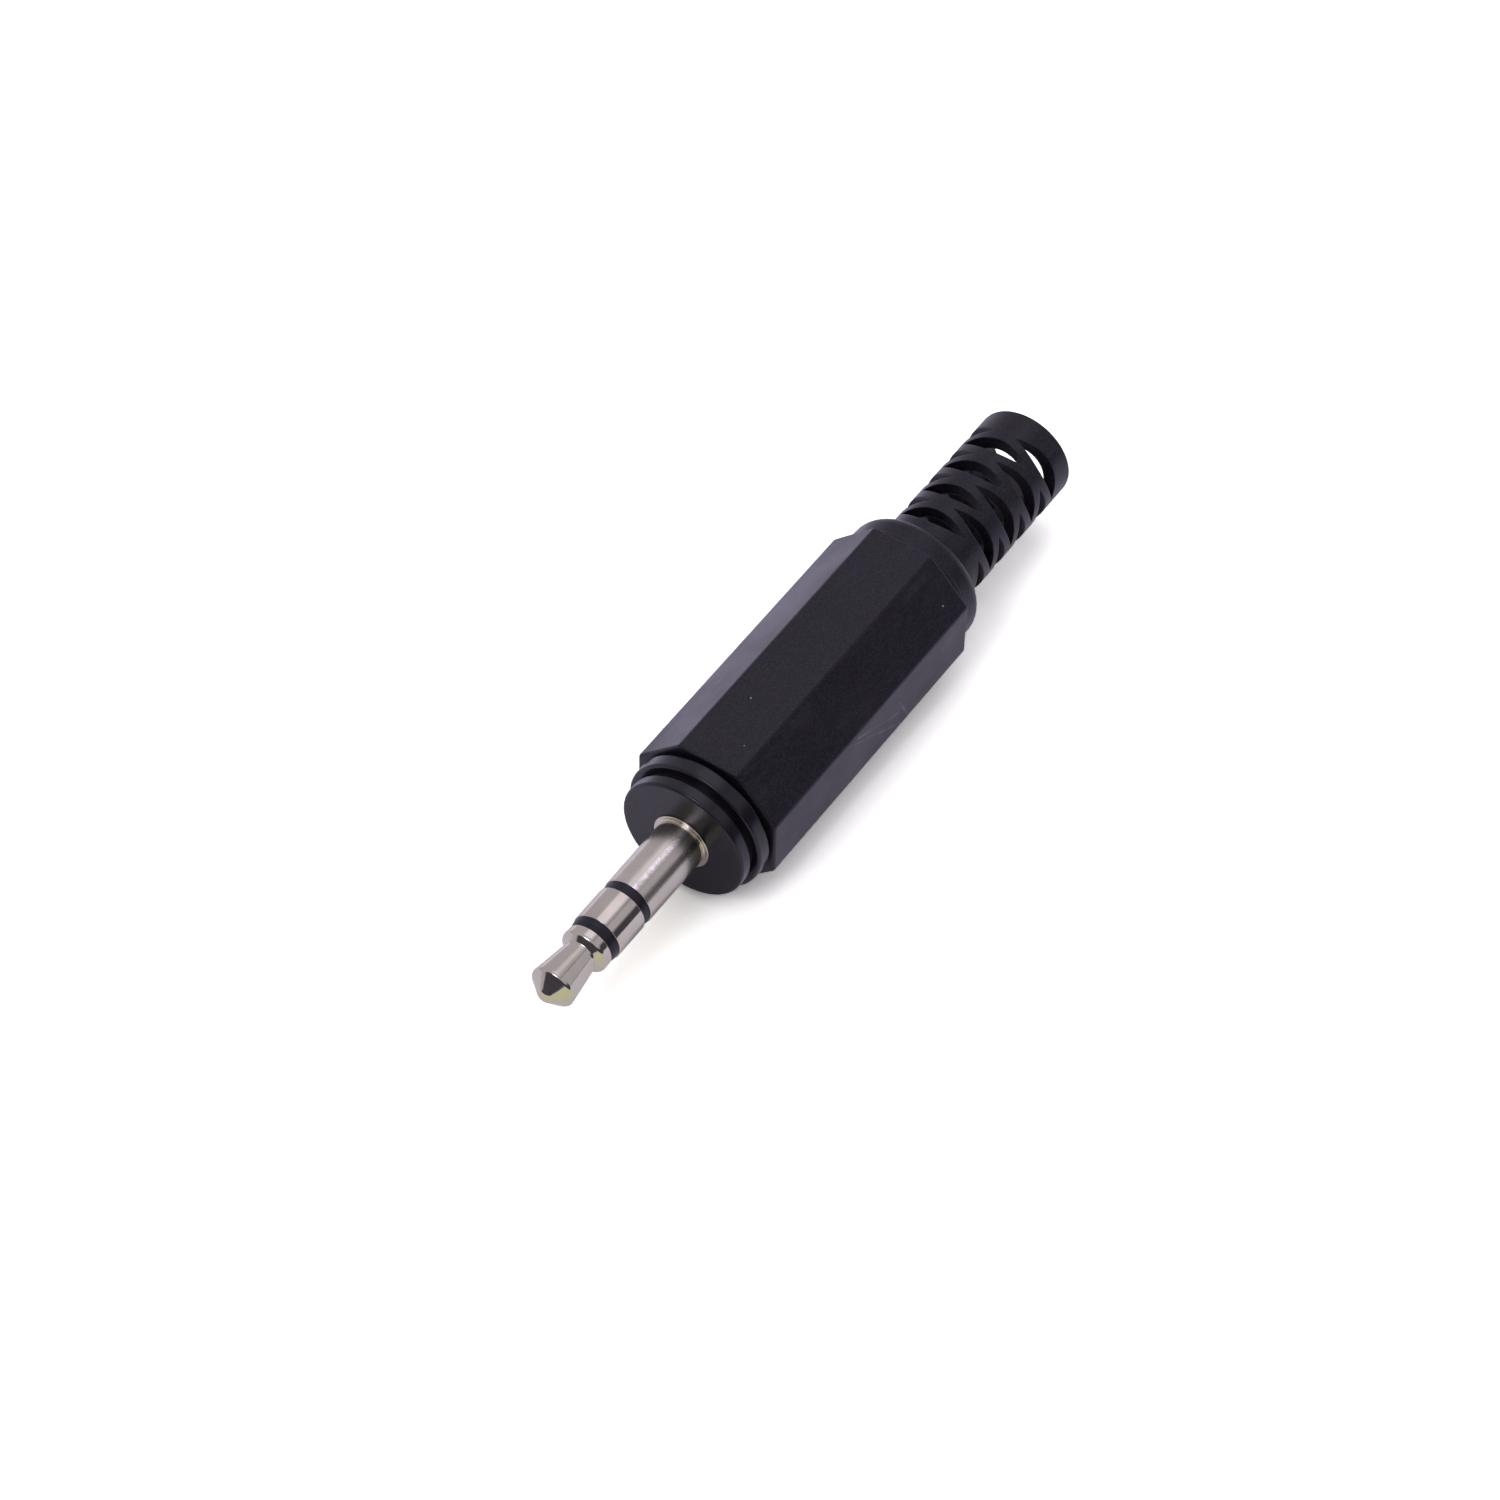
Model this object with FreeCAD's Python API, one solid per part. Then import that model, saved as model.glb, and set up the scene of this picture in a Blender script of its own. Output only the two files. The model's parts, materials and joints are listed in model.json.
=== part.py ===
import FreeCAD, Part
import math
import os

# A 3.5 mm stereo plug lying on one flat of its eight-sided cover.
# +X runs from the tip to the cable end and +Z is up; the origin is on the axis at the bright flange.

V = FreeCAD.Vector
X_DIR = V(1, 0, 0)
ORIGIN = V(0, 0, 0)

# How far a cutting tool runs past the surface it leaves through, and how far two sizes may differ and be one
over = 1.0
tiny = 1e-6

# Pin
pin_r = 1.75
flange_r = 2.05
flange_t = 0.15
sleeve_front = -5.75
ring_front = -9.05
ring_rear = -6.42
bush_r = 1.69
bush_taper = 0.02
bush_nose_r = 1.58
bush_taper_end = -9.30
crown_x = -10.45
crown_r = 1.65
crown_edge = 0.12
crown_rear = -10.05
tip_rear = -9.80
waist_x = -10.85
waist_r = 1.19
rim_x = -13.74
rim_r = 1.545
nose_x = -14.775
nose_ball_r = 0.80
nose_ball_deg = 50.0
edge_r = 0.06

# Nested tubes behind the contacts
rod_r = 0.50
ring_bore_r = 0.80
ring_tube_r = 1.10
sleeve_bore_r = 1.35
shank_r = 1.55

# Collar: its radii follow the cover's flats
flat_h = 5.16
band_r = flat_h - 0.21
band_edge = 0.17
band_front = 1.45
band_rear = 2.62
disc_r = band_r - 0.41
disc_edge = 0.12
disc_rear = 1.02
groove_r = disc_r - 0.26
seat_r = band_r - 0.33
seat_x = 2.78
spigot_end = 7.40
spigot_chamfer = 0.30
thread_gap = 0.08

# Cover
ridge_r = 0.40
rim_chamfer = 0.12
oct_rear = 25.13
land_r = flat_h - 0.17
land_rear = 25.58
shoulder_r = flat_h - 0.28
shoulder_end = 27.50
shoulder_round = 0.95
wall_t = 0.96
cavity_r = flat_h - wall_t
cavity_end = 24.70
neck_x = 26.40
neck_r = 2.72
relief_r = 3.49
relief_end = 40.75
relief_edge = 0.20
relief_root = 0.12
mouth_r = 2.60
mouth_front = 39.40

# Slots of the strain relief
slot_first = 29.48
slot_pitch = 2.565
slot_rows = 4
slot_half = 0.61
slot_half_deg = 46.0
slots_round = 3
slot_turn_deg = -8.0
slot_wedge_deg = 50.0

# Terminal stack: lugs and washers keep clear of the cover's cavity and of each other
lug_t = 0.50
lug_gap = 0.15
bend_r = 0.25
tongue_root = 1.00
washer_t = 0.75
washer_gap = 0.27
small_lug_t = 0.30
small_washer_t = 0.60
small_washer_r = 2.15
rivet_t = 0.20
small_rivet_t = 0.15
rivet_edge = 0.10
rivet_gap = 0.05
disc_gap = 0.60
arm_half = 1.50
arm_end = 20.40
arm_hole_x = 13.20
arm_hole_r = 0.70
tab_r = 1.00
tab_side = 2.20
tab_top = 1.40
tab_len = 1.70
tab_corner = 0.45
tab_first_x = 16.20
tab_second_x = 18.40
ring_lug_r = 2.10
ring_tab_z = 2.75
ring_tab_half = 0.90
ring_tab_end = 15.80
tip_lug_r = 1.60
tip_tab_y = 1.70
tip_tab_half = 0.80
tip_tab_end = 14.40
solder_hole_r = 0.45
rivet_lip = 0.33
ring_rivet_lip = 0.40
tip_head_r = 0.90
tip_head_t = 0.30

spigot_r = cavity_r - thread_gap
ground_disc_r = cavity_r - disc_gap
arm_low = -math.sqrt((cavity_r - lug_gap) ** 2 - arm_half ** 2)
washer_r = -arm_low - lug_t - washer_gap
rivet_r = shank_r + rivet_lip
ring_rivet_r = ring_tube_r + ring_rivet_lip
lug_x = spigot_end
washer_x = lug_x + lug_t
ring_lug_x = washer_x + washer_t
small_washer_x = ring_lug_x + small_lug_t
tip_lug_x = small_washer_x + small_washer_t
tip_head_x = tip_lug_x + small_lug_t


def turned(steps):
    """A solid of revolution about the X axis; each step is (x, r) or an arc ((x, r) mid, (x, r) end)."""
    first = steps[0]
    here = V(first[0], 0, first[1])
    start = here
    edges = []
    for step in steps[1:]:
        if isinstance(step[0], tuple):
            mid = V(step[0][0], 0, step[0][1])
            end = V(step[1][0], 0, step[1][1])
            edges.append(Part.Arc(here, mid, end).toShape())
        else:
            end = V(step[0], 0, step[1])
            edges.append(Part.makeLine(here, end))
        here = end
    edges.append(Part.makeLine(here, start))
    face = Part.Face(Part.Wire(edges))
    return face.revolve(ORIGIN, X_DIR, 360)


def tube(x0, x1, outer, inner):
    return turned([(x0, inner), (x0, outer), (x1, outer), (x1, inner)])


def round_mid(cx, cr, radius, degrees):
    """A point of an arc about (cx, cr); 0 degrees points to the rear and 90 away from the axis."""
    a = math.radians(degrees)
    return (cx + radius * math.cos(a), cr + radius * math.sin(a))


def save(name, shape):
    shape = shape.removeSplitter()
    solids = shape.Solids
    if len(solids) == 1:
        shape = solids[0]
    shape.exportStep("parts/" + name + ".step")
    return shape


def make_tip():
    a = math.radians(nose_ball_deg)
    ball_x = nose_x + nose_ball_r
    ball_mid = (ball_x - nose_ball_r * math.cos(a / 2), nose_ball_r * math.sin(a / 2))
    ball_end = (ball_x - nose_ball_r * math.cos(a), nose_ball_r * math.sin(a))
    steps = [
        (nose_x, 0),
        (ball_mid, ball_end),
        (rim_x - edge_r, rim_r - edge_r),
        (rim_x + edge_r, rim_r),
        (waist_x, waist_r),
        (crown_x - 0.5 * crown_edge, crown_r - crown_edge),
        (crown_x + crown_edge, crown_r),
        (crown_rear, crown_r),
        (tip_rear, bush_nose_r),
        (tip_rear, rod_r),
        (tip_head_x, rod_r),
        (tip_head_x, tip_head_r),
        (tip_head_x + tip_head_t, tip_head_r - tip_head_t),
        (tip_head_x + tip_head_t, 0),
    ]
    return turned(steps)


def make_tip_insulator():
    steps = [
        (tip_rear, rod_r),
        (tip_rear, bush_nose_r),
        (bush_taper_end, bush_r - bush_taper),
        (ring_front, bush_r),
        (ring_front, ring_bore_r),
        (tip_lug_x, ring_bore_r),
        (tip_lug_x, rod_r),
    ]
    return turned(steps)


def make_ring():
    lip_x = small_washer_x + small_rivet_t
    steps = [
        (ring_front, ring_bore_r),
        (ring_front, pin_r),
        (ring_rear, pin_r),
        (ring_rear, ring_tube_r),
        (small_washer_x, ring_tube_r),
        (small_washer_x, ring_rivet_r),
        (lip_x, ring_rivet_r - rivet_edge),
        (lip_x, ring_bore_r),
    ]
    return turned(steps)


def make_ring_insulator():
    steps = [
        (ring_rear, ring_tube_r),
        (ring_rear, bush_r - bush_taper),
        (sleeve_front, bush_r),
        (sleeve_front, sleeve_bore_r),
        (ring_lug_x, sleeve_bore_r),
        (ring_lug_x, ring_tube_r),
    ]
    return turned(steps)


def make_sleeve():
    steps = [
        (sleeve_front, sleeve_bore_r),
        (sleeve_front, pin_r),
        (0, pin_r),
        (0, flange_r - edge_r),
        (edge_r, flange_r),
        (flange_t, flange_r),
        (flange_t, shank_r),
        (washer_x, shank_r),
        (washer_x, rivet_r),
        (washer_x + rivet_t, rivet_r - rivet_edge),
        (washer_x + rivet_t, sleeve_bore_r),
    ]
    return turned(steps)


def make_collar():
    corner = disc_edge
    steps = [
        (flange_t, shank_r),
        (flange_t, disc_r - corner),
        (flange_t + corner, disc_r),
        (disc_rear, disc_r),
        (disc_rear, groove_r),
        (band_front, groove_r),
        (band_front, band_r - band_edge),
        (band_front + band_edge, band_r),
        (band_rear - band_edge, band_r),
        (band_rear, band_r - band_edge),
        (band_rear, seat_r),
        (seat_x, seat_r),
        (seat_x, spigot_r),
        (spigot_end - spigot_chamfer, spigot_r),
        (spigot_end, spigot_r - spigot_chamfer),
        (spigot_end, shank_r),
    ]
    return turned(steps)


def strip(low, thickness, bend_r, rise, end_x, start_x, half_width):
    """A stamped tongue that leaves a lug radially and turns to the rear, drawn in the XZ plane."""
    outer = bend_r + thickness
    pts_in = V(start_x + thickness, 0, low)
    a0 = V(start_x, 0, low)
    a1 = V(start_x, 0, rise - outer)
    k = math.cos(math.radians(45))
    c = V(start_x + outer, 0, rise - outer)
    a2m = V(c.x - outer * k, 0, c.z + outer * k)
    a2 = V(c.x, 0, rise)
    a3 = V(end_x, 0, rise)
    a4 = V(end_x, 0, rise - thickness)
    a5 = V(c.x, 0, rise - thickness)
    a6m = V(c.x - bend_r * k, 0, c.z + bend_r * k)
    a6 = V(start_x + thickness, 0, c.z)
    edges = [
        Part.makeLine(a0, a1),
        Part.Arc(a1, a2m, a2).toShape(),
        Part.makeLine(a2, a3),
        Part.makeLine(a3, a4),
        Part.makeLine(a4, a5),
        Part.Arc(a5, a6m, a6).toShape(),
        Part.makeLine(a6, pts_in),
        Part.makeLine(pts_in, a0),
    ]
    face = Part.Face(Part.Wire(edges))
    body = face.extrude(V(0, 2 * half_width, 0))
    body.translate(V(0, -half_width, 0))
    return body


def round_end(body, end_x, half_width, low, high):
    """Rounds the free end of a tongue that lies flat between low and high."""
    keep = Part.makeBox(half_width, 2 * half_width, high - low, V(end_x - half_width, -half_width, low))
    disc = Part.makeCylinder(half_width, high - low, V(end_x - half_width, 0, low))
    return body.cut(keep.cut(disc))


def make_tab(side, x0):
    """One cable-clamp tab: it leaves the arm sideways and curls upright."""
    t = lug_t
    mid_z = arm_low + t / 2
    cz = mid_z + tab_r
    cy = tab_side - tab_r
    k = math.cos(math.radians(45))
    r_out = tab_r + t / 2
    r_in = tab_r - t / 2
    o = [V(x0, 0, arm_low), V(x0, cy, arm_low), V(x0, cy + r_out, cz), V(x0, cy + r_out, tab_top)]
    i = [V(x0, cy + r_in, tab_top), V(x0, cy + r_in, cz), V(x0, cy, arm_low + t), V(x0, 0, arm_low + t)]
    edges = [
        Part.makeLine(o[0], o[1]),
        Part.Arc(o[1], V(x0, cy + r_out * k, cz - r_out * k), o[2]).toShape(),
        Part.makeLine(o[2], o[3]),
        Part.makeLine(o[3], i[0]),
        Part.makeLine(i[0], i[1]),
        Part.Arc(i[1], V(x0, cy + r_in * k, cz - r_in * k), i[2]).toShape(),
        Part.makeLine(i[2], i[3]),
        Part.makeLine(i[3], o[0]),
    ]
    tab = Part.Face(Part.Wire(edges)).extrude(V(tab_len, 0, 0))
    top = [e for e in tab.Edges if abs(e.CenterOfMass.z - tab_top) < tiny and e.BoundBox.XLength < tiny]
    tab = tab.makeFillet(tab_corner, top)
    if side < 0:
        tab = tab.mirror(ORIGIN, V(0, 1, 0))
    return tab


def make_ground():
    disc = tube(lug_x, washer_x, ground_disc_r, shank_r)
    arm = strip(tongue_root, lug_t, bend_r, -arm_low, arm_end, lug_x, arm_half)
    arm.rotate(ORIGIN, X_DIR, 180)
    core = Part.makeCylinder(shank_r, lug_t, V(lug_x, 0, 0), X_DIR)
    arm = arm.cut(core)
    disc = disc.fuse(arm)
    left = make_tab(1, tab_first_x)
    right = make_tab(-1, tab_second_x)
    lug = disc.fuse([left, right])
    hole = Part.makeCylinder(arm_hole_r, lug_t, V(arm_hole_x, 0, arm_low))
    lug = lug.cut(hole)
    return round_end(lug, arm_end, arm_half, arm_low, arm_low + lug_t)


def make_ring_terminal():
    disc = tube(ring_lug_x, small_washer_x, ring_lug_r, ring_tube_r)
    tongue = strip(tongue_root, small_lug_t, bend_r, ring_tab_z, ring_tab_end, ring_lug_x, ring_tab_half)
    tongue = tongue.cut(Part.makeCylinder(ring_tube_r, small_lug_t, V(ring_lug_x, 0, 0), X_DIR))
    tongue = round_end(tongue, ring_tab_end, ring_tab_half, ring_tab_z - small_lug_t, ring_tab_z)
    lug = disc.fuse(tongue)
    hole_x = ring_tab_end - ring_tab_half
    return lug.cut(Part.makeCylinder(solder_hole_r, small_lug_t, V(hole_x, 0, ring_tab_z - small_lug_t)))


def make_tip_terminal():
    disc = tube(tip_lug_x, tip_head_x, tip_lug_r, rod_r)
    tongue = strip(tongue_root, small_lug_t, bend_r, tip_tab_y, tip_tab_end, tip_lug_x, tip_tab_half)
    tongue = round_end(tongue, tip_tab_end, tip_tab_half, tip_tab_y - small_lug_t, tip_tab_y)
    hole_x = tip_tab_end - tip_tab_half
    hole = Part.makeCylinder(solder_hole_r, small_lug_t, V(hole_x, 0, tip_tab_y - small_lug_t))
    tongue = tongue.cut(hole)
    tongue.rotate(ORIGIN, X_DIR, 90)
    return disc.fuse(tongue)


def make_front_washer():
    steps = [
        (washer_x, rivet_r + rivet_gap),
        (washer_x, washer_r),
        (ring_lug_x, washer_r),
        (ring_lug_x, sleeve_bore_r),
        (washer_x + rivet_t, sleeve_bore_r),
        (washer_x + rivet_t, rivet_r + rivet_gap),
    ]
    return turned(steps)


def make_rear_washer():
    lip_x = small_washer_x + small_rivet_t
    steps = [
        (small_washer_x, ring_rivet_r + rivet_gap),
        (small_washer_x, small_washer_r),
        (tip_lug_x, small_washer_r),
        (tip_lug_x, ring_bore_r),
        (lip_x, ring_bore_r),
        (lip_x, ring_rivet_r + rivet_gap),
    ]
    return turned(steps)


def slot_tool():
    """The cutter of one slot: a pointed lens driven straight in and kept inside a wedge about the axis."""
    reach = relief_r * math.sin(math.radians(slot_half_deg))
    a = V(0, -reach, 0)
    b = V(0, reach, 0)
    front = Part.Arc(a, V(-slot_half, 0, 0), b).toShape()
    rear = Part.Arc(b, V(slot_half, 0, 0), a).toShape()
    top = relief_r + over
    lens = Part.Face(Part.Wire([front, rear])).extrude(V(0, 0, top))
    side = top * math.tan(math.radians(slot_wedge_deg))
    near = V(-over, 0, 0)
    wedge = Part.Face(Part.makePolygon([near, V(-over, -side, top), V(-over, side, top), near]))
    return lens.common(wedge.extrude(V(2 * over, 0, 0)))


def make_cover():
    corner = flat_h / math.cos(math.pi / 8)
    points = []
    for k in range(9):
        a = math.radians(22.5 + 45 * k)
        points.append(V(seat_x, corner * math.cos(a), corner * math.sin(a)))
    barrel = Part.Face(Part.makePolygon(points)).extrude(V(oct_rear - seat_x, 0, 0))
    long_edges = [e for e in barrel.Edges if e.BoundBox.XLength > tiny]
    barrel = barrel.makeFillet(ridge_r, long_edges)
    rims = [e for e in barrel.Edges if e.BoundBox.XLength < tiny]
    barrel = barrel.makeChamfer(rim_chamfer, rims)

    centre = (shoulder_end - shoulder_round, shoulder_r - shoulder_round)
    back = [
        (cavity_end, 0),
        (cavity_end, land_r),
        (land_rear, land_r),
        (land_rear, shoulder_r),
        (centre[0], shoulder_r),
        (round_mid(*centre, shoulder_round, 67.5), round_mid(*centre, shoulder_round, 45)),
        (round_mid(*centre, shoulder_round, 22.5), (shoulder_end, centre[1])),
        (shoulder_end, relief_r + relief_root),
        (shoulder_end + relief_root, relief_r),
        (relief_end - relief_edge, relief_r),
        (relief_end, relief_r - relief_edge),
        (relief_end, 0),
    ]
    cover = barrel.fuse(turned(back))

    inside = [
        (seat_x - over, 0),
        (seat_x - over, cavity_r),
        (cavity_end, cavity_r),
        (neck_x, neck_r),
        (mouth_front, mouth_r),
        (relief_end + over, mouth_r),
        (relief_end + over, 0),
    ]
    cover = cover.cut(turned(inside))

    tool = slot_tool()
    step = 360.0 / slots_round
    cutters = []
    for row in range(2 * slot_rows):
        x = slot_first + row * slot_pitch / 2
        turn = slot_turn_deg + (row % 2) * step / 2
        for k in range(slots_round):
            cutter = tool.copy()
            cutter.rotate(ORIGIN, X_DIR, turn + k * step)
            cutter.translate(V(x, 0, 0))
            cutters.append(cutter)
    return cover.cut(cutters)


os.makedirs("parts", exist_ok=True)
save("tip_contact", make_tip())
save("tip_insulator", make_tip_insulator())
save("ring_contact", make_ring())
save("ring_insulator", make_ring_insulator())
save("sleeve_contact", make_sleeve())
save("collar", make_collar())
save("ground_terminal", make_ground())
save("front_washer", make_front_washer())
save("ring_terminal", make_ring_terminal())
save("rear_washer", make_rear_washer())
save("tip_terminal", make_tip_terminal())
save("cover", make_cover())
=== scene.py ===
import bpy
import bmesh
import json
import math
from mathutils import Matrix, Vector


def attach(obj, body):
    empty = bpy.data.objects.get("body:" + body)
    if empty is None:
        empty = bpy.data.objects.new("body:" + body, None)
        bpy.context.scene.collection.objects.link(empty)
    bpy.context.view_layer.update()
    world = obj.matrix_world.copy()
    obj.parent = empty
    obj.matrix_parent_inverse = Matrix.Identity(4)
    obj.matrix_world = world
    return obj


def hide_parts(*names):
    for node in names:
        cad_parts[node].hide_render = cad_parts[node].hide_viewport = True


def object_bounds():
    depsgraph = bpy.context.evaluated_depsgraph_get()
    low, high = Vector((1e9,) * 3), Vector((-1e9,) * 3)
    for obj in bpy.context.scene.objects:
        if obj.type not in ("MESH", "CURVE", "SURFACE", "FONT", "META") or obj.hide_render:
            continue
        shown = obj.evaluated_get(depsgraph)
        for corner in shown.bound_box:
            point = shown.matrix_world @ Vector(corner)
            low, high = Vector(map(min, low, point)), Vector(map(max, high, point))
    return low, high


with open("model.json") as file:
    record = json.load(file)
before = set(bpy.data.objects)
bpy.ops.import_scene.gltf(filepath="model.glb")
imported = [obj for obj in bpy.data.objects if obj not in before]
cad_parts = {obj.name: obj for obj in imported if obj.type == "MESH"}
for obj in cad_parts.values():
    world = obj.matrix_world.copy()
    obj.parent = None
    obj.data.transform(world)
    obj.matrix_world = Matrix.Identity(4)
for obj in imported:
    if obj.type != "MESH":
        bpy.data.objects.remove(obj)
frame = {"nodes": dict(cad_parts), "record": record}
cad_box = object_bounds()
nodes = frame["nodes"]
scene = bpy.context.scene
MM = 0.001

# Sizes in millimetres: x runs along the axis from the bright flange, r away from it. The tip, the slots and
# the bore's end are within 0.1 mm of the solids', the edge roundings are the scene's own

nose_x, nose_r, nose_deg, nose_steps = -14.775, 0.88, 48.0, 10
rim_x, rim_r = -13.74, 1.57
waist_x, waist_r = -10.85, 1.175
crown_x, crown_r = -10.44, 1.655
tip_rear, bush_nose_r = -9.80, 1.58
tip_skirt_r, bush_front_r = bush_nose_r + 0.05, bush_nose_r - 0.01
bush_crown_x, bush_crown_r = -9.42, 1.655
ring_front, ring_rear = -9.05, -6.42
sleeve_front = -5.75
pin_r, bush_r, bush_taper = 1.75, 1.69, 0.02
flange_r, flange_t = 2.05, 0.15
rod_r, ring_bore_r, ring_tube_r, sleeve_bore_r, shank_r = 0.50, 0.80, 1.10, 1.35, 1.55

disc_r, disc_rear = 4.54, 1.02
groove_r = 4.28
band_r, band_front, band_rear = 4.95, 1.45, 2.62
seat_r, seat_x = 4.62, 2.78
spigot_end, spigot_lead, spigot_chamfer = 7.40, 0.28, 0.18

washer_x, ring_lug_x, small_washer_x, tip_lug_x, tip_head_x = 7.90, 8.65, 8.95, 9.55, 9.85
rivet_r, rivet_t = 1.88, 0.20
ring_rivet_r, small_rivet_t = 1.50, 0.15
tip_head_r, tip_head_t = 0.90, 0.30
tip_head_top_r = 0.8 * tip_head_r
rivet_taper = 0.1

flat_h, ridge_r = 5.16, 0.40
ridge_deg = [20.7, 20.9, 21.3, 21.7, 22.1]
barrel_x = [2.95, 8, 14, 20, 24.98]
front_round, rear_round = 0.14, 0.12
oct_rear, land_r, land_rear = 25.13, 4.99, 25.58
shoulder_r, shoulder_end, shoulder_round = 4.88, 27.50, 0.95
relief_r, relief_end = 3.49, 40.75
relief_x, relief_step, relief_rings = 28.0, 0.25, 48
mouth_r, mouth_front = 2.53, 39.40
neck_r, neck_x = 2.72, 26.40
bore_steps = 50
cavity_r, cavity_end = 4.20, 24.70
cavity_front, cavity_lead_r = 2.90, 4.32
slot_first, slot_pitch, slot_rows, slots_round = 29.48, 1.2825, 8, 3
slot_half, slot_half_deg, slot_turn_deg, slot_wedge_deg = 0.595, 45.5, -7.5, 50.0

thread_pitch, thread_depth = 0.75, 0.20
spigot_root_r, spigot_thread = 3.90, (3.15, 7.10)
cover_thread, thread_relief = (3.20, 8.20), 0.4

# Roundings: small edges from the sharpest to the softest, then the larger ones by their place

keen, crisp, fine, eased, soft = 0.02, 0.03, 0.04, 0.05, 0.06
rim_round, waist_round, crown_round, bush_round = 0.24, 0.18, 0.28, 0.3
head_round, disc_round, band_round = 0.15, 0.20, 0.20
root_round, mouth_round = 0.14, 0.22

# Marks on the cover: specks with their radius, and scratches on the side flat, from (x, z) to (x, z)

specks = [((23.5, -4.20, 3.09), 0.08), ((8.54, 0.62, flat_h), 0.08), ((5.1, -1.2, flat_h), 0.05)]
scratches = [((17.1, 0.3), (18.3, -1.9)), ((17.5, -1.9), (16.0, -1.1)), ((16.0, -1.1), (13.5, 0.45)),
             ((13.5, 0.45), (11.7, 1.4)), ((17.0, -0.6), (12.2, 1.6))]
scratch_r = 0.12


# Surfaces of revolution and near-revolution about X

def outline(points, steps=5, guard=0.02):
    """The line through (x, r) points; a third number rounds that corner, with a guard ring at both ends."""
    out = []
    for i, p in enumerate(points):
        if len(p) == 2:
            out.append(p)
            continue
        a, b, c = Vector(points[i - 1][:2]), Vector(p[:2]), Vector(points[i + 1][:2])
        u = (a - b).normalized()
        w = (c - b).normalized()
        half = u.angle(w) / 2
        centre = b + (u + w).normalized() * (p[2] / math.sin(half))
        lead = p[2] / math.tan(half)
        start = b + u * lead - centre
        end = b + w * lead - centre
        a0 = math.atan2(start.y, start.x)
        turn = (math.atan2(end.y, end.x) - a0 + math.pi) % (2 * math.pi) - math.pi
        out.append(tuple(b + u * (lead + guard)))
        for k in range(steps + 1):
            t = a0 + turn * k / steps
            out.append((centre.x + p[2] * math.cos(t), centre.y + p[2] * math.sin(t)))
        out.append(tuple(b + w * (lead + guard)))
    return out


def skin(name, rings, angles, closed=True):
    """A surface about X through rings (x, radius), each radius a number or a function of x and the angle."""
    bm = bmesh.new()
    loops = []
    for x, radius in rings:
        if not callable(radius) and radius == 0:
            loops.append([bm.verts.new((x * MM, 0, 0))])
            continue
        loop = []
        for t in angles:
            r = radius(x, t) if callable(radius) else radius
            loop.append(bm.verts.new((x * MM, -r * math.sin(t) * MM, r * math.cos(t) * MM)))
        loops.append(loop)
    pairs = list(zip(loops, loops[1:]))
    if closed:
        pairs.append((loops[-1], loops[0]))
    for front, rear in pairs:
        for k in range(len(angles)):
            j = (k + 1) % len(angles)
            corners = [front[k % len(front)], front[j % len(front)], rear[j % len(rear)], rear[k % len(rear)]]
            bm.faces.new(list(dict.fromkeys(corners)))
    bmesh.ops.recalc_face_normals(bm, faces=bm.faces)
    return mesh_object(name, bm)


def mesh_object(name, bm):
    mesh = bpy.data.meshes.new(name)
    bm.to_mesh(mesh)
    bm.free()
    obj = bpy.data.objects.new(name, mesh)
    scene.collection.objects.link(obj)
    soften(mesh)
    return obj


def soften(mesh, sharp_deg=28):
    """Smooth shading, except along edges that turn by more than sharp_deg."""
    mesh.shade_smooth()
    mesh.set_sharp_from_angle(angle=math.radians(sharp_deg))


around = 144
EVEN = [2 * math.pi * k / around for k in range(around)]


def thread(root, depth, start, end):
    """The radius of a screw thread at x and an angle: root, crest and each flank take a quarter of the pitch,
    and it runs out over one pitch at both ends."""
    def radius(x, t):
        phase = (x / thread_pitch - t / (2 * math.pi)) % 1.0
        flank = min(1.0, max(0.0, abs(phase - 0.5) * 4.0 - 0.5))
        fade = min(1.0, max(0.0, (x - start) / thread_pitch), max(0.0, (end - x) / thread_pitch))
        return root + depth * flank * fade
    return radius


def thread_rings(root, depth, start, end, step=0.075):
    count = round((end - start) / step)
    radius = thread(root, depth, start, end)
    return [(start + (end - start) * k / count, radius) for k in range(count + 1)]


# Node graphs: shared steps, a material around one Principled shader, and the sky

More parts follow.
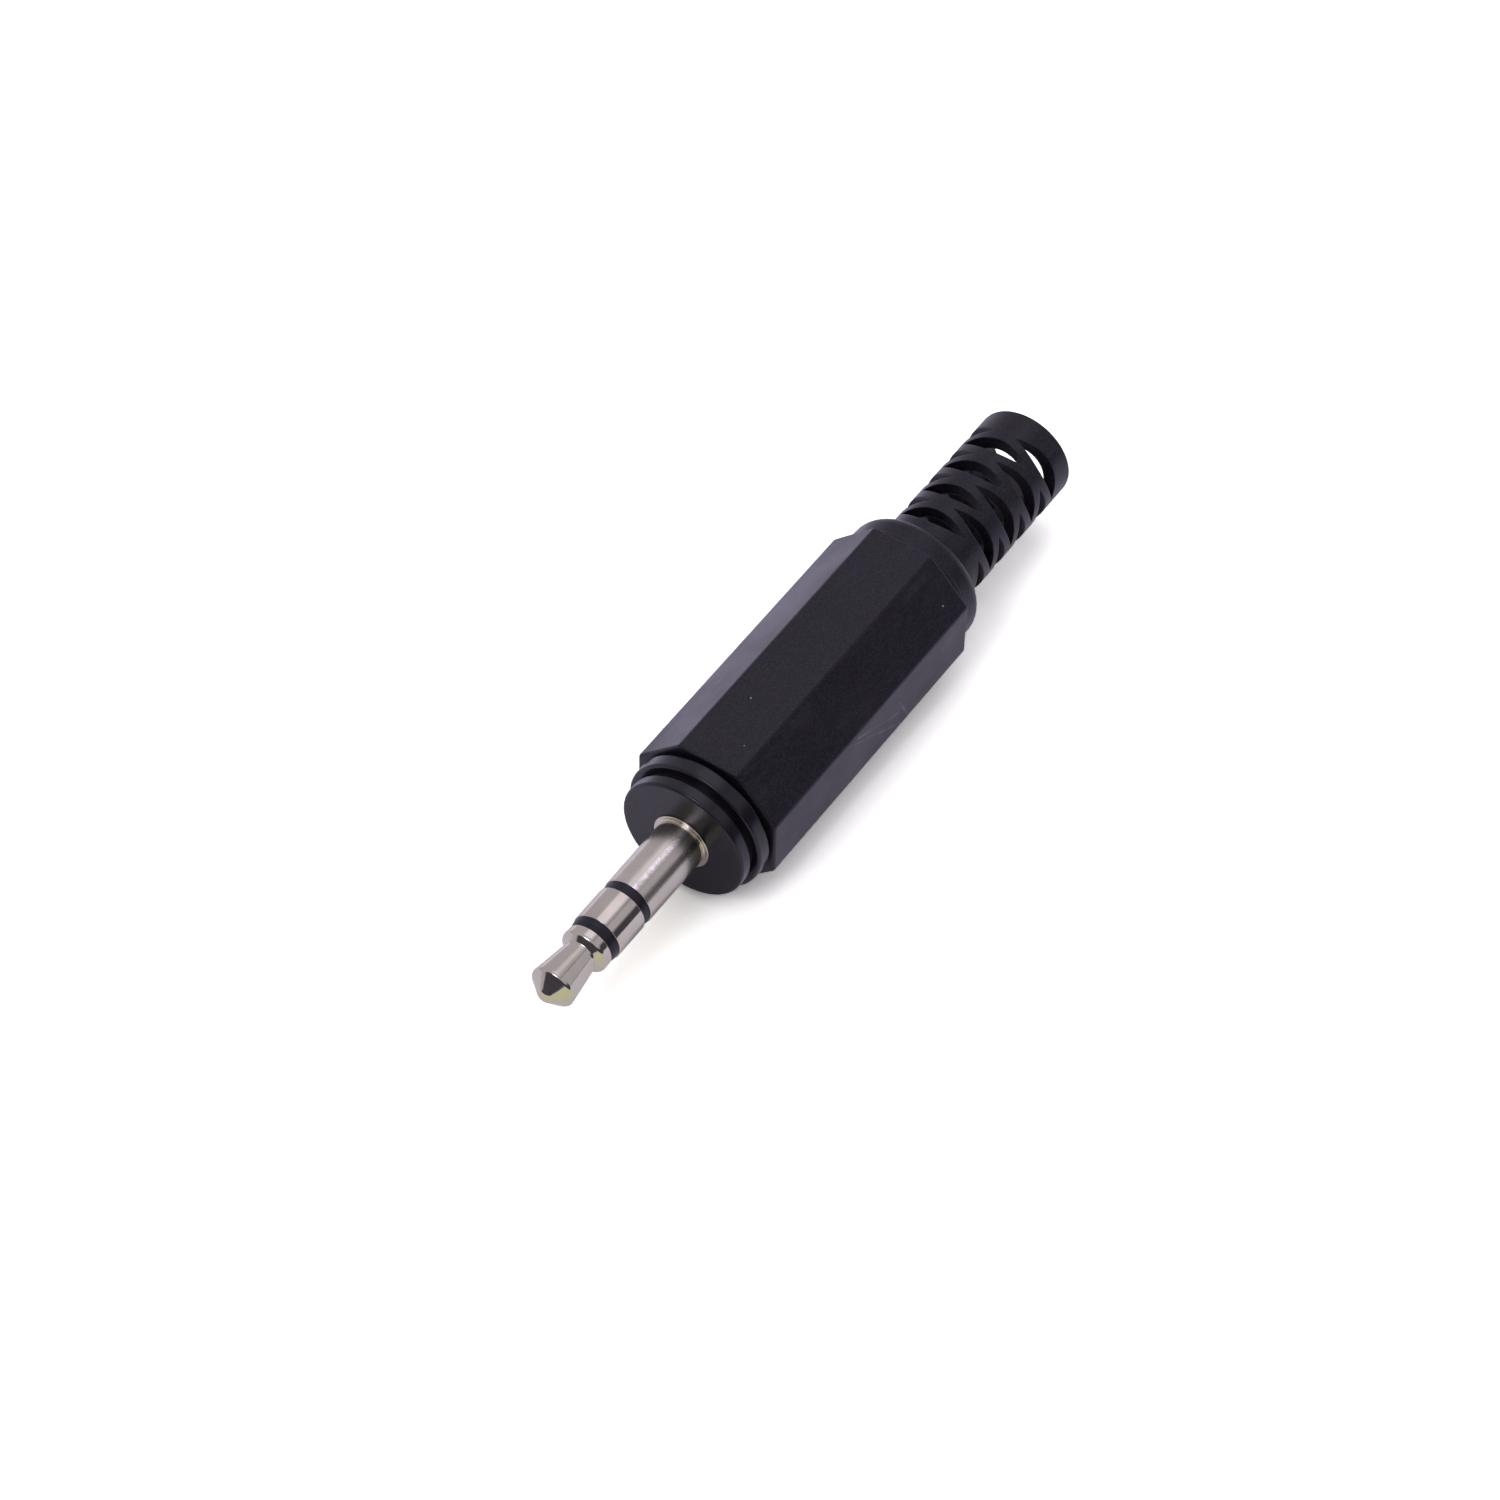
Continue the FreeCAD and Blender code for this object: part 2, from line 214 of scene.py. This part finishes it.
class Graph:
    """Short names for the shader nodes used here."""

    def __init__(self, tree):
        self.tree = tree
        self.place = tree.nodes.new("ShaderNodeTexCoord")

    def node(self, kind, **values):
        """A new node, each value set on its property or on its input of that name."""
        n = self.tree.nodes.new(kind)
        for key, value in values.items():
            if hasattr(n, key):
                setattr(n, key, value)
            else:
                n.inputs[key.replace("_", " ")].default_value = value
        return n

    def put(self, value, socket):
        """Sets a socket to a number, vector or colour, or links it."""
        if hasattr(value, "is_output"):
            self.tree.links.new(value, socket)
        elif isinstance(value, tuple) and socket.type == "RGBA":
            socket.default_value = (*value, 1)
        else:
            socket.default_value = value

    def at(self, scale=(1, 1, 1)):
        """The place on the object, in metres, stretched by scale."""
        m = self.node("ShaderNodeMapping", Scale=scale)
        self.put(self.place.outputs["Object"], m.inputs["Vector"])
        return m.outputs["Vector"]

    def noise(self, scale, vector=None, detail=3.0, rough=0.55):
        n = self.node("ShaderNodeTexNoise", Scale=scale, Detail=detail, Roughness=rough)
        self.put(vector or self.place.outputs["Object"], n.inputs["Vector"])
        return n.outputs["Fac"]

    def ramp(self, source, low, high, a=0.0, b=1.0):
        n = self.node("ShaderNodeMapRange", From_Min=low, From_Max=high, To_Min=a, To_Max=b)
        self.put(source, n.inputs["Value"])
        return n.outputs["Result"]

    def mix(self, factor, a, b):
        n = self.node("ShaderNodeMix", data_type="RGBA")
        self.put(factor, n.inputs[0])
        colours = [s for s in n.inputs if s.type == "RGBA"]
        self.put(a, colours[0])
        self.put(b, colours[1])
        return [s for s in n.outputs if s.type == "RGBA"][0]

    def math(self, operation, a, b=0.0):
        n = self.node("ShaderNodeMath", operation=operation)
        self.put(a, n.inputs[0])
        self.put(b, n.inputs[1])
        return n.outputs[0]

    def vector(self, operation, a, b, out="Vector"):
        n = self.node("ShaderNodeVectorMath", operation=operation)
        self.put(a, n.inputs[0])
        self.put(b, n.inputs["Scale" if operation == "SCALE" else 1])
        return n.outputs[out]

    def spot(self, centre, radius, core=0.5):
        """1 inside a soft-edged spot about a point of the object, given in millimetres."""
        away = self.vector("DISTANCE", self.place.outputs["Object"], tuple(c * MM for c in centre), "Value")
        return self.ramp(away, radius * MM, core * radius * MM)

    def streak(self, start, end, radius, core=0.3):
        """1 along a soft-edged stroke between two points of the object, given in millimetres."""
        a, b = Vector(start) * MM, Vector(end) * MM
        from_a = self.vector("SUBTRACT", self.place.outputs["Object"], tuple(a))
        share = self.vector("DOT_PRODUCT", from_a, tuple((b - a) / (b - a).length_squared), "Value")
        share = self.ramp(share, 0.0, 1.0)
        away = self.vector("DISTANCE", from_a, self.vector("SCALE", tuple(b - a), share), "Value")
        return self.ramp(away, radius * MM, core * radius * MM)


class Paint(Graph):
    """A material with one Principled shader."""

    def __init__(self, name):
        self.mat = bpy.data.materials.new(name)
        self.mat.use_nodes = True
        super().__init__(self.mat.node_tree)

    def bump(self, height, distance, strength=1.0, normal=None):
        n = self.node("ShaderNodeBump", Distance=distance, Strength=strength)
        self.put(height, n.inputs["Height"])
        if normal is not None:
            self.put(normal, n.inputs["Normal"])
        return n.outputs["Normal"]

    def set(self, **values):
        shader = self.tree.nodes["Principled BSDF"]
        for key, value in values.items():
            self.put(value, shader.inputs[key.replace("_", " ")])
        return self.mat


def satin_black():
    """The cover's moulding: fine satin grain, cloudy gloss, rubbed spots, soft edges, scratches and dust."""
    blue, brown, grain_peak = (0.0006, 0.0005, 0.0031), (0.0024, 0.0014, 0.0012), (0.0210, 0.0188, 0.0270)
    rubbed, scratched, dusty = (0.032, 0.030, 0.036), (0.110, 0.105, 0.115), (0.35, 0.34, 0.36)
    p = Paint("satin_black")
    grain = p.noise(14000, detail=2.0)
    cloud = p.noise(260, detail=4.0)
    speckle = p.noise(8000, detail=2.0, rough=0.6)
    rub = p.noise(900, p.at((0.25, 1, 1)), detail=6.0, rough=0.7)
    tone = p.mix(p.ramp(p.noise(450, detail=5.0), 0.40, 0.60), blue, brown)
    colour = p.mix(p.ramp(speckle, 0.42, 0.75), tone, grain_peak)
    colour = p.mix(p.ramp(rub, 0.56, 0.76, 0.0, 0.5), colour, rubbed)
    for centre, radius in specks:
        colour = p.mix(p.spot(centre, radius), colour, dusty)
    for (x0, z0), (x1, z1) in scratches:
        stroke = p.streak((x0, -flat_h, z0), (x1, -flat_h, z1), scratch_r)
        faint = p.math("MULTIPLY", stroke, p.ramp(rub, 0.42, 0.56, 0.15, 1.0))
        colour = p.mix(faint, colour, scratched)
    rough = p.math("ADD", p.ramp(cloud, 0.3, 0.7, 0.31, 0.39), p.ramp(rub, 0.5, 0.8, 0.0, 0.10))
    edges = p.node("ShaderNodeBevel", samples=6, Radius=0.12 * MM)
    wavy = p.bump(cloud, 0.03 * MM, 0.5, edges.outputs["Normal"])
    normal = p.bump(grain, 0.010 * MM, 0.5, wavy)
    return p.set(Base_Color=colour, Roughness=rough, Normal=normal, IOR=1.41)


def gloss_black():
    """The collar's polished moulding."""
    p = Paint("gloss_black")
    grain = p.noise(7000, detail=2.0)
    cloud = p.noise(420, detail=4.0)
    colour = p.mix(p.ramp(grain, 0.3, 0.7), (0.0040, 0.0034, 0.0048), (0.0080, 0.0070, 0.0095))
    rough = p.ramp(cloud, 0.3, 0.7, 0.20, 0.28)
    normal = p.bump(grain, 0.004 * MM, 0.4)
    return p.set(Base_Color=colour, Roughness=rough, Normal=normal, IOR=1.46)


def bush_black():
    """The pin's insulating bushes."""
    p = Paint("bush_black")
    cloud = p.noise(900, detail=4.0)
    colour = p.mix(p.ramp(cloud, 0.3, 0.7), (0.0060, 0.0058, 0.0090), (0.0110, 0.0105, 0.0160))
    rough = p.ramp(cloud, 0.3, 0.7, 0.30, 0.42)
    return p.set(Base_Color=colour, Roughness=rough, Normal=p.bump(cloud, 0.01 * MM, 0.4), IOR=1.42)


def plated(name, along, flange, painted_highlight=False):
    """Nickel plate, with its roughness along the pin and at the flange; the last flag adds a painted
    highlight, a broken bright line along the sleeve.
    """
    # The painted highlight's line on the sleeve: its ends along the pin, its place across and its width
    highlight_front, highlight_rear, highlight_y, highlight_z, highlight_r = -5.7, -0.1, -0.52, 1.67, 0.26
    bright_x = -0.8
    p = Paint(name)
    turned = p.noise(2600, p.at((1.0, 0.03, 0.03)), detail=4.0)
    drawn = p.noise(9000, p.at((0.03, 1.0, 1.0)), detail=4.0)
    cloud = p.noise(700, detail=5.0)
    colour = p.mix(p.ramp(cloud, 0.35, 0.7), (0.585, 0.555, 0.437), (0.645, 0.612, 0.483))
    if painted_highlight:
        # Painted highlight: a broken bright line painted into the colour along the top of the sleeve
        line = p.streak((highlight_front, highlight_y, highlight_z), (highlight_rear, highlight_y, highlight_z), highlight_r)
        line = p.math("MULTIPLY", line, p.ramp(p.noise(3200, detail=2.0), 0.42, 0.58, 0.3, 0.95))
        colour = p.mix(line, colour, (1.0, 0.97, 0.90))
    x = p.vector("DOT_PRODUCT", p.place.outputs["Object"], (1.0, 0.0, 0.0), "Value")
    rough = p.math("ADD", p.ramp(x, bright_x * MM, 0.0, along, flange), p.ramp(drawn, 0.3, 0.7, 0.0, 0.05))
    rough = p.math("ADD", rough, p.ramp(cloud, 0.5, 0.8, 0.0, 0.05))
    height = p.math("ADD", p.math("MULTIPLY", turned, 0.6), p.math("ADD", drawn, cloud))
    return p.set(Base_Color=colour, Metallic=1.0, Roughness=rough, Normal=p.bump(height, 0.004 * MM, 0.6))


def tinned():
    """The stamped terminals."""
    p = Paint("tinned_sheet")
    cloud = p.noise(900, detail=5.0)
    rolled = p.noise(3000, p.at((0.06, 1.0, 1.0)), detail=3.0)
    colour = p.mix(p.ramp(cloud, 0.3, 0.7), (0.62, 0.60, 0.56), (0.74, 0.72, 0.68))
    rough = p.ramp(cloud, 0.3, 0.7, 0.22, 0.36)
    return p.set(Base_Color=colour, Metallic=1.0, Roughness=rough, Normal=p.bump(rolled, 0.006 * MM, 0.6))


def laminate():
    """The brown insulating washers."""
    p = Paint("washer_laminate")
    cloud = p.noise(1400, detail=5.0)
    layer = p.noise(9000, p.at((1.0, 0.05, 0.05)), detail=2.0)
    colour = p.mix(p.ramp(cloud, 0.3, 0.7), (0.16, 0.075, 0.035), (0.25, 0.125, 0.060))
    rough = p.ramp(layer, 0.3, 0.7, 0.42, 0.60)
    return p.set(Base_Color=colour, Roughness=rough, Normal=p.bump(layer, 0.01 * MM, 0.5))


MATERIALS = {
    "nickel": plated("nickel_polished", 0.07, 0.07),
    "collar_black": gloss_black(),
    "bush_black": bush_black(),
    "cover_black": satin_black(),
    "tinned": tinned(),
    "washer_board": laminate(),
}
# Drawn nickel for the sleeve, with the painted highlight line
drawn_nickel = plated("nickel_drawn", 0.22, 0.12, painted_highlight=True)

slots = {part["node"]: part["material_slot"] for part in frame["record"]["subparts"]}
for name, node in nodes.items():
    for entry in node.material_slots:
        entry.link = "OBJECT"
        entry.material = MATERIALS[slots[name]]


def stand_for(obj, node, body, material=None):
    """Dresses a mesh, lets it ride on a body and puts it in the place of the solid of that node."""
    obj.data.materials.clear()
    obj.data.materials.append(material or MATERIALS[slots[node]])
    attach(obj, body)
    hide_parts(node)


# Pin: tip, ring and sleeve with their bushes, each with the rod or tube that runs back inside

def make_tip():
    nose = []
    for k in range(nose_steps):
        a = math.radians(nose_deg * k / (nose_steps - 1))
        nose.append((nose_x + nose_r * (1 - math.cos(a)), nose_r * math.sin(a)))
    stem = [nose[-1], (rim_x, rim_r, rim_round), (waist_x, waist_r, waist_round),
            (crown_x, crown_r, crown_round), (tip_rear, tip_skirt_r, crisp), (tip_rear, rod_r),
            (tip_head_x, rod_r), (tip_head_x, tip_head_r, eased),
            (tip_head_x + tip_head_t, tip_head_top_r, head_round), (tip_head_x + tip_head_t, 0)]
    return skin("tip", nose + outline(stem)[1:], EVEN, closed=False)


def make_tip_bush():
    return skin("tip_bush", outline([
        (tip_rear, rod_r), (tip_rear, bush_front_r, keen), (bush_crown_x, bush_crown_r, bush_round),
        (ring_front, bush_r), (ring_front, ring_bore_r), (tip_lug_x, ring_bore_r), (tip_lug_x, rod_r)]), EVEN)


def make_ring():
    lip_x = small_washer_x + small_rivet_t
    return skin("ring", outline([
        (ring_front, ring_bore_r), (ring_front, pin_r, eased), (ring_rear, pin_r, fine),
        (ring_rear, ring_tube_r), (small_washer_x, ring_tube_r), (small_washer_x, ring_rivet_r, crisp),
        (lip_x, ring_rivet_r - rivet_taper, fine), (lip_x, ring_bore_r)]), EVEN)


def make_ring_bush():
    return skin("ring_bush", outline([
        (ring_rear, ring_tube_r), (ring_rear, bush_r - bush_taper), (sleeve_front, bush_r),
        (sleeve_front, sleeve_bore_r), (ring_lug_x, sleeve_bore_r), (ring_lug_x, ring_tube_r)]), EVEN)


def make_sleeve():
    lip_x = washer_x + rivet_t
    return skin("sleeve", outline([
        (sleeve_front, sleeve_bore_r), (sleeve_front, pin_r, fine), (0.0, pin_r, soft),
        (0.0, flange_r, eased), (flange_t, flange_r, crisp), (flange_t, shank_r), (washer_x, shank_r),
        (washer_x, rivet_r, crisp), (lip_x, rivet_r - rivet_taper, fine), (lip_x, sleeve_bore_r)]), EVEN)


def make_collar():
    """Front disc, groove, rounded band, seat and threaded spigot."""
    face = outline([
        (flange_t, shank_r), (flange_t, disc_r, disc_round), (disc_rear, disc_r, soft),
        (disc_rear, groove_r), (band_front, groove_r), (band_front, band_r, band_round),
        (band_rear, band_r, band_round), (band_rear, seat_r, crisp), (seat_x, seat_r, crisp),
        (seat_x, spigot_root_r), (spigot_thread[0], spigot_root_r)])
    screw = thread_rings(spigot_root_r, thread_depth, *spigot_thread)
    end = [(spigot_end - spigot_lead, spigot_root_r), (spigot_end, spigot_root_r - spigot_chamfer),
           (spigot_end, shank_r)]
    return skin("collar_piece", face + screw[1:] + end, EVEN)


# Cover: eight-sided barrel, shoulder and slotted strain relief in one moulding

def octagon(inset):
    """The radius of the eight-sided barrel with soft ridges, its flats drawn in by inset."""
    h = flat_h - inset
    reach = (h - ridge_r) / math.cos(math.pi / 8)
    edge = math.atan((h - ridge_r) * math.tan(math.pi / 8) / h)

    def radius(x, t):
        d = (t + math.pi / 8) % (math.pi / 4) - math.pi / 8
        if abs(d) < edge:
            return h / math.cos(d)
        e = math.pi / 8 - abs(d)
        return reach * math.cos(e) + math.sqrt(ridge_r ** 2 - (reach * math.sin(e)) ** 2)
    return radius


def octagon_end(x, inset, inwards, steps=4):
    """Rings that round an end of the barrel over inset; inwards is +1 at the front end and -1 at the rear."""
    out = []
    for k in range(steps + 1):
        a = math.pi / 2 * (k / steps if inwards > 0 else 1 - k / steps)
        out.append((x + inwards * inset * (1 - math.cos(a)), octagon(inset * (1 - math.sin(a)))))
    return out


def cover_angles():
    """Angles about the axis, set close together on the eight ridges and wide apart on the flats."""
    facet = [-22.5] + [-d for d in reversed(ridge_deg)] + list(range(-18, 19, 4)) + ridge_deg
    return [math.radians(45 * k + d) for k in range(8) for d in facet]


def slot_tool(count=28, bottom=0.3 * relief_r, top=1.3 * relief_r):
    """The cutter of one slot: a pointed lens driven straight in and kept inside a wedge about the axis."""
    reach = relief_r * math.sin(math.radians(slot_half_deg))
    bend = (reach ** 2 + slot_half ** 2) / (2 * slot_half)
    lens = []
    for side in (-1, 1):
        for k in range(count):
            y = -side * reach * math.cos(math.pi * k / count)
            lens.append((-side * (math.sqrt(bend ** 2 - y ** 2) - bend + slot_half), y))
    bm = bmesh.new()
    low = [bm.verts.new((x * MM, y * MM, bottom * MM)) for x, y in lens]
    high = [bm.verts.new((x * MM, y * MM, top * MM)) for x, y in lens]
    for k in range(len(lens)):
        j = (k + 1) % len(lens)
        bm.faces.new((low[k], low[j], high[j], high[k]))
    bm.faces.new(list(reversed(low)))
    bm.faces.new(high)
    wedge = math.radians(slot_wedge_deg)
    for side in (-1, 1):
        plane = Vector((0, side * math.cos(wedge), -math.sin(wedge)))
        parts = bm.verts[:] + bm.edges[:] + bm.faces[:]
        cut = bmesh.ops.bisect_plane(bm, geom=parts, plane_co=(0, 0, 0), plane_no=plane, clear_outer=True)
        rim = [e for e in cut["geom_cut"] if isinstance(e, bmesh.types.BMEdge)]
        bmesh.ops.contextual_create(bm, geom=rim)
    bmesh.ops.recalc_face_normals(bm, faces=bm.faces)
    mesh = bpy.data.meshes.new("slot_tool")
    bm.to_mesh(mesh)
    bm.free()
    return mesh


def all_slots():
    """Every slot's cutter in one object: each row turned half a step against the one before."""
    tool = slot_tool()
    step = 360.0 / slots_round
    bm = bmesh.new()
    for row in range(slot_rows):
        for k in range(slots_round):
            first = len(bm.verts)
            bm.from_mesh(tool)
            bm.verts.ensure_lookup_table()
            turn = Matrix.Rotation(math.radians(slot_turn_deg + (row % 2) * step / 2 + k * step), 4, "X")
            shift = Matrix.Translation(((slot_first + row * slot_pitch) * MM, 0, 0))
            bmesh.ops.transform(bm, matrix=shift @ turn, verts=bm.verts[first:])
    return mesh_object("slots", bm)


def cut_away(obj, cutter):
    """Takes the cutter out of the object and deletes it."""
    cut = obj.modifiers.new("cut", "BOOLEAN")
    cut.operation = "DIFFERENCE"
    cut.solver = "EXACT"
    cut.object = cutter
    bpy.context.view_layer.update()
    seen = obj.evaluated_get(bpy.context.evaluated_depsgraph_get())
    mesh = bpy.data.meshes.new_from_object(seen)
    obj.modifiers.clear()
    obj.data = mesh
    bpy.data.objects.remove(cutter)
    soften(mesh)


def make_cover():
    angles = cover_angles()
    barrel = octagon_end(seat_x, front_round, 1)
    barrel += [(x, octagon(0)) for x in barrel_x]
    barrel += octagon_end(oct_rear, rear_round, -1)
    shoulder = outline([
        (oct_rear, land_r), (land_rear, land_r, eased), (land_rear, shoulder_r),
        (shoulder_end, shoulder_r, shoulder_round), (shoulder_end, relief_r, root_round),
        (relief_x, relief_r)], steps=8)
    relief = [(relief_x + relief_step * k, relief_r) for k in range(1, relief_rings + 1)]
    mouth = outline([
        relief[-1], (relief_end, relief_r, mouth_round), (relief_end, mouth_r, soft), (mouth_front, mouth_r)])
    bore = []
    for k in range(1, bore_steps):
        share = k / bore_steps
        bore.append((mouth_front + (neck_x - mouth_front) * share, mouth_r + (neck_r - mouth_r) * share))
    cavity = [(neck_x, neck_r), (cavity_end, cavity_r), (cover_thread[1] + thread_relief, cavity_r)]
    screw = list(reversed(thread_rings(cavity_r, thread_depth, *cover_thread)))
    entry = [(cavity_front, cavity_r), (seat_x, cavity_lead_r)]
    rings = barrel + shoulder[:-1] + relief + mouth[1:] + bore + cavity + screw + entry
    cover = skin("cover_piece", rings, angles)
    cut_away(cover, all_slots())
    return cover


stand_for(make_tip(), "tip_contact", "plug")
stand_for(make_tip_bush(), "tip_insulator", "plug")
stand_for(make_ring(), "ring_contact", "plug")
stand_for(make_ring_bush(), "ring_insulator", "plug")
stand_for(make_sleeve(), "sleeve_contact", "plug", drawn_nickel)
stand_for(make_collar(), "collar", "plug")
stand_for(make_cover(), "cover", "cover")


# Floor: white to the camera with a faint shadow. Whatever mirrors it meets paper with a faint painted glow,
# spots of painted light and painted shade, and a painted yellow-green reflection

def make_floor():
    half = 3.0
    low = cad_box[0].z
    paper, camera_white = (0.95, 0.95, 0.99), (2.65, 2.80, 2.25)
    glow_colour, glow_level = (1.05, 1.0, 1.2), 0.12
    # Spots seen only in reflections: a broad faint brightening, a pool of painted light behind the plug, a
    # painted yellow-green reflection ahead of the tip and painted shade under the pin by the collar
    painted_light_spots = [((10.0, -60.0), 90.0, (0.98, 0.98, 1.03)), ((29.0, 30.0), 25.0, (1.66, 1.66, 1.73)),
             ((-42.0, -21.0), 40.0, (0.95, 1.04, 0.50)), ((-2.5, -1.5), 4.8, (0.42, 0.38, 0.40))]
    mesh = bpy.data.meshes.new("floor")
    corners = [(-half, -half, low), (half, -half, low), (half, half, low), (-half, half, low)]
    mesh.from_pydata(corners, [], [(0, 1, 2, 3)])
    floor = bpy.data.objects.new("floor", mesh)
    scene.collection.objects.link(floor)
    p = Paint("floor_white")
    camera_ray = p.node("ShaderNodeLightPath").outputs["Is Camera Ray"]
    for (x, y), radius, colour in painted_light_spots:
        paper = p.mix(p.spot((x, y, low / MM), radius), paper, colour)
    # Painted light: the floor glows faintly to everything but the camera, which lifts its shade near the plug
    # in reflections
    glow = p.math("MULTIPLY", p.math("SUBTRACT", 1.0, camera_ray), glow_level)
    floor.data.materials.append(p.set(
        Base_Color=p.mix(camera_ray, paper, camera_white), Roughness=0.9, Specular_IOR_Level=0.0,
        Emission_Color=glow_colour, Emission_Strength=glow))


# Surroundings: pale and faintly violet, with a brighter patch overhead, a small strong light ahead, two dark
# sectors low down and a thin dark seam

def cosine(degrees):
    return math.cos(math.radians(degrees))


def make_sky():
    walls, darkness = 0.52, 0.88
    seam_normal, seam_outer, seam_inner, seam_depth = (0.0, -0.912, -0.409), 0.045, 0.025, 0.45
    tint, haze = (1.07, 1.0, 1.24), (0.004, 0.0, 0.014)
    world = bpy.data.worlds.new("surroundings")
    scene.world = world
    world.use_nodes = True
    sky = Graph(world.node_tree)
    direction = sky.place.outputs["Generated"]

    def near(x, y, z, inner, outer, level=1.0):
        """level inside the inner angle about a direction, fading to nothing at the outer one."""
        along = sky.vector("DOT_PRODUCT", direction, tuple(Vector((x, y, z)).normalized()), "Value")
        return sky.ramp(along, cosine(outer), cosine(inner), 0.0, level)

    height = sky.vector("DOT_PRODUCT", direction, (0.0, 0.0, 1.0), "Value")
    heading = sky.vector("NORMALIZE", sky.vector("MULTIPLY", direction, (1.0, 1.0, 0.0)), (0.0, 0.0, 0.0))

    def dark(azimuth, outer, inner, top, full):
        """The darkness of a sector about an azimuth, whole up to the height full and gone at top."""
        facing = sky.vector("DOT_PRODUCT", heading, (cosine(azimuth), cosine(azimuth - 90), 0.0), "Value")
        sector = sky.ramp(facing, cosine(outer), cosine(inner), 0.0, darkness)
        return sky.math("MULTIPLY", sky.ramp(height, top, full), sector)

    light = sky.math("ADD", near(0.46, 0.10, 0.88, 13, 21, 0.47), walls)
    side = dark(240, 73, 69, 0.50, 0.40)
    front = dark(178, 39, 36, 0.57, 0.54)
    light = sky.math("MULTIPLY", light, sky.math("SUBTRACT", 1.0, sky.math("MAXIMUM", side, front)))
    light = sky.math("ADD", light, near(-0.66, 0.08, 0.75, 9, 13, 3.5))
    seam = sky.vector("DOT_PRODUCT", direction, seam_normal, "Value")
    seam = sky.ramp(sky.math("ABSOLUTE", seam), seam_outer, seam_inner)
    seam = sky.math("MULTIPLY", seam, near(0.30, -0.37, 0.85, 37, 46))
    left = sky.math("SUBTRACT", 1.0, sky.math("MULTIPLY", seam, seam_depth))
    light = sky.math("MULTIPLY", light, left)
    violet = sky.vector("ADD", sky.vector("SCALE", tint, light), haze)
    camera_ray = sky.node("ShaderNodeLightPath").outputs["Is Camera Ray"]
    sky.put(sky.mix(camera_ray, violet, (1.0, 1.0, 1.0)), sky.tree.nodes["Background"].inputs["Color"])


# Camera: fitted to the outline of the plug in the photograph

def make_camera():
    azimuth, elevation, roll = math.radians(-57.438), math.radians(50.200), math.radians(1.796)
    distance_mm, px_per_mm, film_mm = 282.0, 16.096, 36.0
    distance = distance_mm * MM
    focal_px = px_per_mm * distance_mm
    flange_px = (680.802, 842.022)
    half_px = 750.0
    right = Vector((math.cos(azimuth), math.sin(azimuth), 0))
    flat = math.cos(elevation)
    back = Vector((math.sin(azimuth) * flat, -math.cos(azimuth) * flat, math.sin(elevation)))
    up = back.cross(right)
    right, up = math.cos(roll) * right + math.sin(roll) * up, math.cos(roll) * up - math.sin(roll) * right
    across = (flange_px[0] - half_px) * distance / focal_px
    down = (flange_px[1] - half_px) * distance / focal_px
    lens = bpy.data.cameras.new("camera")
    lens.sensor_fit = "HORIZONTAL"
    lens.sensor_width = film_mm
    lens.lens = film_mm * focal_px / (2 * half_px)
    lens.clip_start = 0.01
    lens.clip_end = 20.0
    camera = bpy.data.objects.new("camera", lens)
    scene.collection.objects.link(camera)
    turn = Matrix((right, up, back)).transposed().to_4x4()
    camera.matrix_world = Matrix.Translation(back * distance + up * down - right * across) @ turn
    scene.camera = camera


make_floor()
make_sky()
make_camera()
scene.view_settings.view_transform = "Standard"
